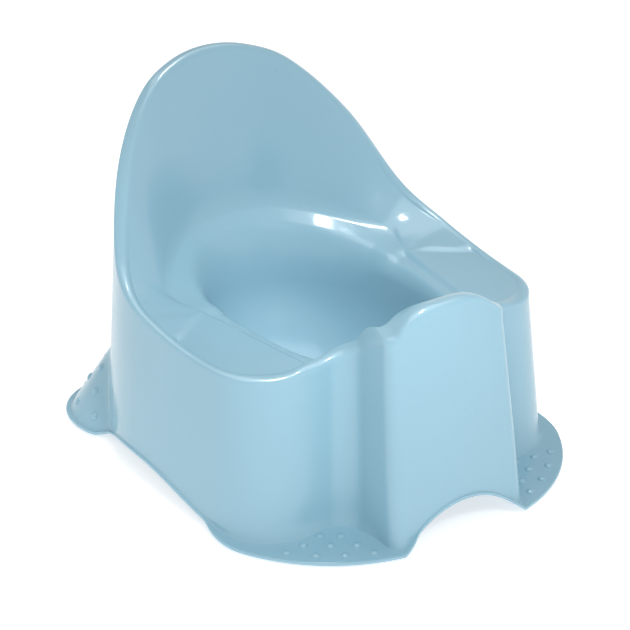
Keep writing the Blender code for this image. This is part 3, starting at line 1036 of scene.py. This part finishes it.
    def wall_line(self, column: Column, high: float) -> list[Vector]:
        """Return the points of the outer wall and the lip, from height high downwards."""
        low = self.feet.arch(column, self.outline) + self.feet.thick
        foot, lip = self.wall_point(column, low), self.lip_point(column, low)
        down = Vector((0.0, 0.0, self.feet.thick))
        below = lip - down
        wall = [self.wall_point(column, mix(high, low + self.foot_gap, part)) for part in self.wall_rows]
        return wall[:-1] + rounded_line(wall[-1], [
            Corner(foot, *self.roundings.foot, steps=3, run=1),
            Corner(lip, *self.roundings.lip, steps=4, run=2),
            Corner(below, *self.roundings.below, steps=3, run=1),
        ], below.lerp(foot - down, 0.5))

    # ---- mesh
    def grid(self) -> np.ndarray:
        """Return the upper surface as columns by rows by 3, both halves."""
        right = np.array([[tuple(p) for p in self.section(column)] for column in self.columns])
        right[0, :, 0] = 0.0
        right[-1, :, 0] = 0.0
        left = right[-2:0:-1].copy()
        left[:, :, 0] *= -1.0
        return np.concatenate([right, left])

    @staticmethod
    def normals(grid: np.ndarray, passes: int) -> np.ndarray:
        """Return evened out normals that point up and out.

        Args:
            grid: Points, columns by rows by 3.
            passes: How often neighbours are averaged.

        Returns:
            Unit normals of the same shape.
        """
        across = np.roll(grid, -1, 0) - np.roll(grid, 1, 0)
        down = np.empty_like(grid)
        down[:, 1:-1] = grid[:, 2:] - grid[:, :-2]
        down[:, 0] = grid[:, 1] - grid[:, 0]
        down[:, -1] = grid[:, -1] - grid[:, -2]
        found = np.cross(down, across)
        found /= np.maximum(np.linalg.norm(found, axis=2, keepdims=True), 1e-12)
        for _ in range(passes):
            total = 2.0 * found + np.roll(found, 1, 0) + np.roll(found, -1, 0)
            total[:, 1:] += found[:, :-1]
            total[:, :-1] += found[:, 1:]
            found = total / np.linalg.norm(total, axis=2, keepdims=True)
        return found

    def underside(self, grid: np.ndarray, rows: int) -> np.ndarray:
        """Return the inner face of the wall.

        Args:
            grid: The upper surface.
            rows: Number of rows from the bowl floor to the foot of the wall.

        Returns:
            Points, columns by rows by 3.
        """
        under = grid[:, :rows] - self.normals(grid, self.normal_passes)[:, :rows] * self.wall
        for _ in range(self.under_passes):
            even = under.copy()
            even[:, 1:-1] = (2.0 * under[:, 1:-1] + under[:, 2:] + under[:, :-2]
                             + np.roll(under, 1, 0)[:, 1:-1] + np.roll(under, -1, 0)[:, 1:-1]) / 6.0
            under = even
        return under[:, ::2]  # every second row is enough where nothing is seen

    def build(self) -> bpy.types.Object:
        """Build the moulding, dress it and put it on the frame."""
        upper = self.grid()
        under = self.underside(upper, upper.shape[1] - self.edge_rows)
        pole_top = Vector((0.0, self.bowl_centre, self.bowl_floor))
        pole_low = pole_top - Vector((0.0, 0.0, self.wall))
        mesh = self.sew(upper, under[:, ::-1], pole_top, pole_low)
        low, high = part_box("potty_shell")
        for vertex in mesh.vertices:
            vertex.co.y += self.y_shift
            vertex.co = [min(most, max(least, c)) for least, c, most in zip(low, vertex.co, high)]
        mesh.materials.append(self.finish.make())
        shell = bpy.data.objects.new("moulded_body", mesh)
        bpy.context.scene.collection.objects.link(shell)
        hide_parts("potty_shell")
        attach(shell, "root")
        LOG.info("%s: %d faces", shell.name, len(mesh.polygons))
        return shell

    @staticmethod
    def sew(upper: np.ndarray, under: np.ndarray, pole_top: Vector, pole_low: Vector) -> bpy.types.Mesh:
        """Join the upper and the lower surface into one closed mesh.

        Args:
            upper: Upper surface, from the bowl centre to the lower edge.
            under: Lower surface, from the lower edge back to the bowl centre.
            pole_top: Middle of the bowl floor.
            pole_low: The same place on the underside.

        Returns:
            The mesh, with smooth shading.
        """
        sheet = np.concatenate([upper[:, 1:], under[:, :-1]], axis=1)
        columns, rows = sheet.shape[:2]
        points = [tuple(p) for p in sheet.reshape(-1, 3)] + [tuple(pole_top), tuple(pole_low)]
        top, low = columns * rows, columns * rows + 1
        faces: list[tuple[int, ...]] = []
        for i in range(columns):
            a, b = i * rows, (i + 1) % columns * rows
            faces.append((top, a, b))
            faces.append((low, b + rows - 1, a + rows - 1))
            faces += [(a + j, a + j + 1, b + j + 1, b + j) for j in range(rows - 1)]
        mesh = bpy.data.meshes.new("moulded_body")
        mesh.from_pydata(points, [], faces)
        mesh.update()
        bm = bmesh.new()
        bm.from_mesh(mesh)
        bmesh.ops.recalc_face_normals(bm, faces=bm.faces)
        bm.to_mesh(mesh)
        bm.free()
        mesh.shade_smooth()
        return mesh


# ---------------------------------------------------------------- studs
@dataclass
class StudField:
    """Low round studs on the four feet, placed by a Geometry Nodes tree.

    Args:
        shell: The moulding that the studs stand on.
        radius: Radius of a stud.
        height: Height of a stud above the foot.
        sink: How deep the middle of a stud lies under the surface.
        spread: Largest share by which a stud may be smaller.
        seed: Seed for these tiny differences in size.
        dome: Segments and rings of a stud.
        middle: Middle of the outer row on the right front flange.
        axis: Direction from the rows to the flange's edge, in plan.
        front_rows: Distance of each row from the outer one, its studs, their pitch and
            how much the row bends back at bow_half from its middle.
        bow_half: Distance from the middle of a row at which its bend is given.
        rear_rows: Height of each row on a rear foot, and degrees from the foot's middle.
    """

    shell: PottyShell
    radius: float = 0.0033
    height: float = 0.0015
    sink: float = 0.0003
    spread: float = 0.04
    seed: int = 4
    dome: tuple[int, int] = (20, 12)
    middle: Plan = (0.0940, -0.1228)
    axis: Plan = (0.57, -0.82)
    front_rows: tuple[tuple[float, int, float, float], ...] = (
        (0.0, 4, 0.0195, 0.0036), (0.0125, 3, 0.0180, 0.0016), (0.0245, 2, 0.0140, 0.0))
    bow_half: float = 0.029
    rear_rows: tuple[tuple[float, tuple[float, ...]], ...] = (
        (0.0125, (-13.5, -4.8, 4.8, 13.5)), (0.0265, (-8.5, 0.0, 8.5)), (0.0400, (-3.9, 3.9)))

    def front_places(self) -> list[tuple[Vector, Vector]]:
        """Return centres and directions of the studs on the right front flange."""
        axis = Vector((*self.axis, 0.0))
        across = Vector((-axis.y, axis.x, 0.0))
        up = Vector((0.0, 0.0, 1.0))
        middle = Vector((*self.middle, self.shell.feet.top))
        places = []
        for back, count, pitch, bow in self.front_rows:
            for k in range(count):
                side = (k - (count - 1) / 2) * pitch
                drop = bow * (side / self.bow_half) ** 2
                places.append((middle - axis * (back + drop) + across * side, up))
        return places

    def rear_point(self, turn: float, z: float) -> Vector:
        """Return a point on the sloping face of the right rear foot."""
        outline, feet = self.shell.outline, self.shell.feet
        angle = feet.rear_angle + turn
        reach = outline.at(outline.back, z) + feet.bulge(angle, z)
        x, y = outline.on_arc(0.0, outline.back_centre, reach, math.radians(angle))
        return Vector((x, y, z))

    def rear_places(self) -> list[tuple[Vector, Vector]]:
        """Return centres and directions of the studs on the right rear foot."""
        half_turn, half_rise = 0.5, 0.001
        places = []
        for z, turns in self.rear_rows:
            for turn in turns:
                side = self.rear_point(turn + half_turn, z) - self.rear_point(turn - half_turn, z)
                rise = self.rear_point(turn, z + half_rise) - self.rear_point(turn, z - half_rise)
                places.append((self.rear_point(turn, z), side.cross(rise).normalized()))
        return places

    def tree(self, material: bpy.types.Material) -> bpy.types.NodeTree:
        """Build the node tree that puts a dome on each point."""
        tree = bpy.data.node_groups.new("stud_field", "GeometryNodeTree")
        tree.interface.new_socket("Geometry", in_out="INPUT", socket_type="NodeSocketGeometry")
        for name in ("Stud radius", "Stud height", "Size spread"):
            tree.interface.new_socket(name, in_out="INPUT", socket_type="NodeSocketFloat")
        tree.interface.new_socket("Seed", in_out="INPUT", socket_type="NodeSocketInt")
        tree.interface.new_socket("Geometry", in_out="OUTPUT", socket_type="NodeSocketGeometry")
        add, link = tree.nodes.new, tree.links.new
        given, result = add("NodeGroupInput"), add("NodeGroupOutput")
        dome = add("GeometryNodeMeshUVSphere")
        dome.inputs["Segments"].default_value, dome.inputs["Rings"].default_value = self.dome
        dome.inputs["Radius"].default_value = 1.0
        size = add("ShaderNodeCombineXYZ")
        for axis in ("X", "Y"):
            link(given.outputs["Stud radius"], size.inputs[axis])
        link(given.outputs["Stud height"], size.inputs["Z"])
        scaled = add("GeometryNodeTransform")
        link(dome.outputs["Mesh"], scaled.inputs["Geometry"])
        link(size.outputs["Vector"], scaled.inputs["Scale"])
        direction = add("GeometryNodeInputNamedAttribute")
        direction.data_type = "FLOAT_VECTOR"
        direction.inputs["Name"].default_value = "stud_direction"
        turn = add("FunctionNodeAlignRotationToVector")
        turn.axis = "Z"
        link(direction.outputs["Attribute"], turn.inputs["Vector"])
        least = add("ShaderNodeMath")
        least.operation = "SUBTRACT"
        least.inputs[0].default_value = 1.0
        link(given.outputs["Size spread"], least.inputs[1])
        spread = add("FunctionNodeRandomValue")
        spread.data_type = "FLOAT"
        numbers = [s for s in spread.inputs if s.type == "VALUE"]
        link(least.outputs["Value"], numbers[0])
        numbers[1].default_value = 1.0
        link(given.outputs["Seed"], spread.inputs["Seed"])
        copies = add("GeometryNodeInstanceOnPoints")
        link(given.outputs["Geometry"], copies.inputs["Points"])
        link(scaled.outputs["Geometry"], copies.inputs["Instance"])
        link(turn.outputs["Rotation"], copies.inputs["Rotation"])
        link([s for s in spread.outputs if s.type == "VALUE"][0], copies.inputs["Scale"])
        real = add("GeometryNodeRealizeInstances")
        link(copies.outputs["Instances"], real.inputs["Geometry"])
        shade = add("GeometryNodeSetShadeSmooth")
        link(real.outputs["Geometry"], shade.inputs["Geometry"])
        paint = add("GeometryNodeSetMaterial")
        paint.inputs["Material"].default_value = material
        link(shade.outputs["Geometry"], paint.inputs["Geometry"])
        link(paint.outputs["Geometry"], result.inputs["Geometry"])
        return tree

    def build(self, material: bpy.types.Material) -> bpy.types.Object:
        """Place the studs on all four feet and put them on the frame."""
        spots: list[Vector] = []
        turns: list[Vector] = []
        for side in Side:
            for spot, normal in self.front_places() + self.rear_places():
                flip = Vector((side.value, 1.0, 1.0))
                centre = (spot - normal * self.sink) * flip
                centre.y += self.shell.y_shift
                spots.append(centre)
                turns.append(normal * flip)
        points = bpy.data.meshes.new("stud_points")
        points.from_pydata([tuple(s) for s in spots], [], [])
        layer = points.attributes.new("stud_direction", "FLOAT_VECTOR", "POINT")
        layer.data.foreach_set("vector", [c for t in turns for c in t])
        holder = bpy.data.objects.new("stud_points", points)
        bpy.context.scene.collection.objects.link(holder)
        modifier = holder.modifiers.new("studs", "NODES")
        modifier.node_group = self.tree(material)
        wanted = {"Stud radius": self.radius, "Stud height": self.height + self.sink,
                  "Size spread": self.spread, "Seed": self.seed}
        for item in modifier.node_group.interface.items_tree:
            if item.in_out == "INPUT" and item.name in wanted:
                modifier[item.identifier] = wanted[item.name]
        graph = bpy.context.evaluated_depsgraph_get()
        mesh = bpy.data.meshes.new_from_object(holder.evaluated_get(graph))
        bpy.data.objects.remove(holder)
        mesh.name = "foot_studs"
        studs = bpy.data.objects.new("foot_studs", mesh)
        bpy.context.scene.collection.objects.link(studs)
        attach(studs, "root")
        LOG.info("%s: %d studs, %d faces", studs.name, len(spots), len(mesh.polygons))
        return studs


# ---------------------------------------------------------------- pads
@dataclass
class AntiSlipPad:
    """A curved rubber strip with rounded edges and grip ribs under one foot.

    Args:
        node: Name of the CAD node it replaces.
        centre_line: Gives the middle of the strip in plan for t from 0 to 1.
        half_width: Half the width of the strip.
        material: Rubber.
        top: Upper face.
        edge: Rounding of the long edges.
        end_parts: How many round ends would fit along the strip.
        end_least: Smallest width at an end, as the square of a share.
        steps: Number of sections along the strip.
        ribs: Number of ribs.
        rib_height: How far the ribs stand below the strip.
        rib_half: Half the thickness of a rib.
        rib_sides: Number of flat faces round a rib.
        rib_reach: Length of a rib, as a share of the strip's width.
        rib_sink: How far a rib's edges reach into the strip.
        rib_span: Place of the first and the last rib along the strip.
    """

    node: str
    centre_line: Callable[[float], Plan]
    half_width: float
    material: bpy.types.Material
    top: float = 0.0021
    edge: float = 0.0005
    end_parts: float = 9.0
    end_least: float = 0.06
    steps: int = 64
    ribs: int = 15
    rib_height: float = 0.0006
    rib_half: float = 0.0005
    rib_sides: int = 6
    rib_reach: float = 0.80
    rib_sink: float = 0.0002
    rib_span: Pair = (0.12, 0.88)

    def frame_at(self, t: float) -> tuple[Vector, Vector]:
        """Return the middle of the strip and the direction across it."""
        step = 0.01
        ax, ay = self.centre_line(max(0.0, t - step))
        bx, by = self.centre_line(min(1.0, t + step))
        along_strip = Vector((bx - ax, by - ay, 0.0)).normalized()
        x, y = self.centre_line(t)
        return Vector((x, y, 0.0)), Vector((-along_strip.y, along_strip.x, 0.0))

    def ring(self, t: float, width: float) -> list[Vector]:
        """Return one cross section with cut corners."""
        middle, across = self.frame_at(t)
        low, high, edge = self.rib_height, self.top, min(self.edge, 0.45 * width)
        upper = [(-width, high - edge), (-width + edge, high), (width - edge, high), (width, high - edge)]
        lower = [(width, low + edge), (width - edge, low), (-width + edge, low), (-width, low + edge)]
        return [middle + across * a + Vector((0.0, 0.0, z)) for a, z in upper + lower]

    def build(self) -> bpy.types.Object:
        """Build the pad, dress it and put it on the frame."""
        bm = bmesh.new()
        rings = []
        for k in range(self.steps + 1):
            t = k / self.steps
            end = min(1.0, min(t, 1.0 - t) * self.end_parts)
            width = self.half_width * math.sqrt(max(self.end_least, 1.0 - (1.0 - end) ** 2))
            rings.append([bm.verts.new(p) for p in self.ring(t, width)])
        for a, b in zip(rings, rings[1:]):
            for n in range(len(a)):
                m = (n + 1) % len(a)
                bm.faces.new((a[n], a[m], b[m], b[n]))
        bm.faces.new(list(reversed(rings[0])))
        bm.faces.new(rings[-1])
        for k in range(self.ribs):
            self.add_rib(bm, mix(*self.rib_span, k / (self.ribs - 1)))
        bmesh.ops.recalc_face_normals(bm, faces=bm.faces)
        mesh = bpy.data.meshes.new(self.node + "_rubber")
        bm.to_mesh(mesh)
        bm.free()
        mesh.materials.append(self.material)
        mesh.shade_smooth()
        mesh.set_sharp_from_angle(angle=math.radians(50.0))
        pad = bpy.data.objects.new(self.node + "_rubber", mesh)
        bpy.context.scene.collection.objects.link(pad)
        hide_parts(self.node)
        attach(pad, "root")
        LOG.info("%s: %d faces", pad.name, len(mesh.polygons))
        return pad

    def add_rib(self, bm: bmesh.types.BMesh, t: float) -> None:
        """Add one half round rib across the underside."""
        middle, across = self.frame_at(t)
        ahead = Vector((-across.y, across.x, 0.0))
        count = self.rib_sides + 1
        ends = []
        for reach in (-self.rib_reach, self.rib_reach):
            ring = []
            for n in range(count):
                angle = math.pi * n / self.rib_sides
                spot = middle + across * self.half_width * reach + ahead * self.rib_half * math.cos(angle)
                sink = self.rib_sink if n in (0, self.rib_sides) else 0.0
                spot.z = self.rib_height * (1.0 - math.sin(angle)) + sink
                ring.append(bm.verts.new(spot))
            ends.append(ring)
        for n in range(count):
            m = (n + 1) % count
            bm.faces.new((ends[0][n], ends[0][m], ends[1][m], ends[1][n]))
        bm.faces.new(ends[0])
        bm.faces.new(list(reversed(ends[1])))


@dataclass
class PadSet:
    """The four pads under the feet.

    Args:
        shell: The moulding above the pads.
        studs: The stud field, which knows the line of the rear feet.
        finish: Surface of the rubber.
        front_half: Half width of a front pad.
        front_inset: Distance from a front pad's middle line to the flange's edge.
        front_turn: Start and end of a front pad in degrees round the flange's centre.
        rear_half: Half width of a rear pad.
        rear_inset: Distance from a rear pad's middle line to the face of the foot.
        rear_turn: Half length of a rear pad in degrees.
        rear_ribs: Number of ribs under a rear pad.
    """

    shell: PottyShell
    studs: StudField
    finish: MattRubber = field(default_factory=MattRubber)
    front_half: float = 0.0060
    front_inset: float = 0.0110
    front_turn: Pair = (-68.0, -37.0)
    rear_half: float = 0.0025
    rear_inset: float = 0.0009
    rear_turn: float = 14.0
    rear_ribs: int = 11

    def front_line(self, side: Side) -> Callable[[float], Plan]:
        """Return the middle line of a front pad."""
        feet = self.shell.feet

        def line(t: float) -> Plan:
            """Return the point at t."""
            angle = math.radians(mix(*self.front_turn, t))
            x, y = PlanOutline.on_arc(*feet.front_centre, feet.front_radius - self.front_inset, angle)
            return side.value * x, y + self.shell.y_shift

        return line

    def rear_line(self, side: Side) -> Callable[[float], Plan]:
        """Return the middle line of a rear pad."""
        centre = self.shell.outline.back_centre

        def line(t: float) -> Plan:
            """Return the point at t."""
            spot = self.studs.rear_point(mix(-self.rear_turn, self.rear_turn, t), self.shell.feet.top)
            length = math.hypot(spot.x, spot.y - centre)
            scale = (length - self.rear_inset) / length
            return side.value * spot.x * scale, centre + (spot.y - centre) * scale + self.shell.y_shift

        return line

    def build(self) -> list[bpy.types.Object]:
        """Build the four pads."""
        rubber = self.finish.make()
        pads = []
        for side in Side:
            label = side.name.lower()
            pads.append(AntiSlipPad(f"anti_slip_pad_front_{label}", self.front_line(side),
                                    self.front_half, rubber).build())
            pads.append(AntiSlipPad(f"anti_slip_pad_rear_{label}", self.rear_line(side),
                                    self.rear_half, rubber, ribs=self.rear_ribs).build())
        return pads


# ---------------------------------------------------------------- studio
@dataclass(frozen=True)
class SoftLight:
    """One soft studio light aimed at the chair, a rectangle or a round spot.

    Args:
        name: Name of the light.
        azimuth: Direction it stands in, in degrees; 0 is in front of the chair.
        elevation: Degrees above the floor.
        distance: Distance from the chair.
        size: Width and height; a spot takes the width for both.
        power: Watts.
        mirrored: True for a light that only shows as a reflection, False for one that never does.
        cone: Opening angle of a round spot in degrees; 0 makes a rectangle.
    """

    name: str
    azimuth: float
    elevation: float
    distance: float
    size: Pair
    power: float
    mirrored: bool = False
    cone: float = 0.0


@dataclass
class Studio:
    """Floor, lights, world and camera.

    Args:
        target: What the camera looks at.
        azimuth: Direction of the camera in degrees; 0 is in front of the chair.
        elevation: Degrees above the floor.
        distance: Distance of the camera.
        lens: Focal length in millimetres.
        sensor: Width of the camera's sensor in millimetres.
        floor_half: Half the side of the square floor.
        sky: Strength of the light all around.
        sky_bands: Brightness of the sky by height, from 0 at the horizon to 1 overhead.
        lights: The lights.
    """

    target: Vector = field(default_factory=lambda: Vector((-0.0206, -0.0202, 0.1123)))
    azimuth: float = -34.94
    elevation: float = 26.4
    distance: float = 1.400
    lens: float = 113.76
    sensor: float = 36.0
    floor_half: float = 6.0
    sky: float = 0.88
    sky_bands: tuple[Pair, ...] = ((0.0, 1.0), (0.22, 1.0), (0.44, 0.60), (0.75, 0.80), (1.0, 0.80))
    lights: tuple[SoftLight, ...] = (
        SoftLight("front_light", -30.0, 50.0, 1.9, (0.9, 0.9), 6.0),
        SoftLight("bowl_light", -8.0, 48.0, 1.2, (0.30, 0.30), 44.0, cone=19.0),
        SoftLight("top_light", 150.0, 74.0, 1.4, (1.4, 1.4), 13.0, mirrored=True),
        SoftLight("window_light", 150.0, 74.0, 1.2, (0.16, 0.22), 5.0, mirrored=True),
    )

    @staticmethod
    def direction(azimuth: float, elevation: float) -> Vector:
        """Return the unit direction from the chair to a place in the studio."""
        a, e = math.radians(azimuth), math.radians(elevation)
        return Vector((math.sin(a) * math.cos(e), -math.cos(a) * math.cos(e), math.sin(e)))

    def add_floor(self) -> None:
        """Add the pale floor."""
        bm = bmesh.new()
        bmesh.ops.create_grid(bm, x_segments=8, y_segments=8, size=self.floor_half)
        mesh = bpy.data.meshes.new("studio_floor")
        bm.to_mesh(mesh)
        bm.free()
        mesh.materials.append(FloorPaint().make())
        floor = bpy.data.objects.new("studio_floor", mesh)
        bpy.context.scene.collection.objects.link(floor)

    def add_light(self, light: SoftLight) -> None:
        """Add one soft light."""
        data = bpy.data.lights.new(light.name, "SPOT" if light.cone else "AREA")
        if light.cone:
            data.spot_size = math.radians(light.cone)
            data.spot_blend = 1.0
            data.shadow_soft_size = 0.5 * light.size[0]
        else:
            data.shape = "RECTANGLE"
            data.size, data.size_y = light.size
        data.energy = light.power
        lamp = bpy.data.objects.new(light.name, data)
        lamp.visible_glossy = light.mirrored
        lamp.visible_diffuse = not light.mirrored
        away = self.direction(light.azimuth, light.elevation)
        lamp.location = self.target + away * light.distance
        lamp.rotation_euler = away.to_track_quat("Z", "Y").to_euler()
        bpy.context.scene.collection.objects.link(lamp)

    def add_world(self) -> None:
        """Add the white surroundings, darker in a band halfway up."""
        world = bpy.data.worlds.new("studio")
        world.use_nodes = True
        add, link = world.node_tree.nodes.new, world.node_tree.links.new
        place, height = add("ShaderNodeTexCoord"), add("ShaderNodeSeparateXYZ")
        ramp = add("ShaderNodeValToRGB")
        stops = ramp.color_ramp.elements
        while len(stops) < len(self.sky_bands):
            stops.new(0.5)
        for stop, (level, bright) in zip(stops, self.sky_bands):
            stop.position = level
            stop.color = (bright, bright, bright, 1.0)
        background = world.node_tree.nodes["Background"]
        background.inputs["Strength"].default_value = self.sky
        link(place.outputs["Generated"], height.inputs["Vector"])
        link(height.outputs["Z"], ramp.inputs["Fac"])
        link(ramp.outputs["Color"], background.inputs["Color"])
        bpy.context.scene.world = world

    def add_camera(self) -> None:
        """Add the camera and make it the scene's camera."""
        data = bpy.data.cameras.new("camera")
        data.lens = self.lens
        data.sensor_width = self.sensor
        camera = bpy.data.objects.new("camera", data)
        away = self.direction(self.azimuth, self.elevation)
        camera.location = self.target + away * self.distance
        camera.rotation_euler = away.to_track_quat("Z", "Y").to_euler()
        bpy.context.scene.collection.objects.link(camera)
        bpy.context.scene.camera = camera

    def build(self) -> None:
        """Build the whole studio."""
        self.add_floor()
        self.add_world()
        for light in self.lights:
            self.add_light(light)
        self.add_camera()
        bpy.context.scene.view_settings.view_transform = "Standard"
        LOG.info("studio: %d lights", len(self.lights))


def frame_shift(shell: PottyShell) -> float:
    """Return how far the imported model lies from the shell's own origin along Y."""
    back = shell.columns[-1]
    low = shell.feet.arch(back, shell.outline) + shell.feet.thick
    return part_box("potty_shell")[1].y - shell.lip_point(back, low).y


def main() -> None:
    """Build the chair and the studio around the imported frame."""
    logging.basicConfig(level=logging.INFO, format="%(name)s: %(message)s")
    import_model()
    shell = PottyShell()
    shell.y_shift = frame_shift(shell)
    body = shell.build()
    studs = StudField(shell)
    studs.build(body.data.materials[0])
    PadSet(shell, studs).build()
    Studio().build()


if __name__ == "__main__":
    main()
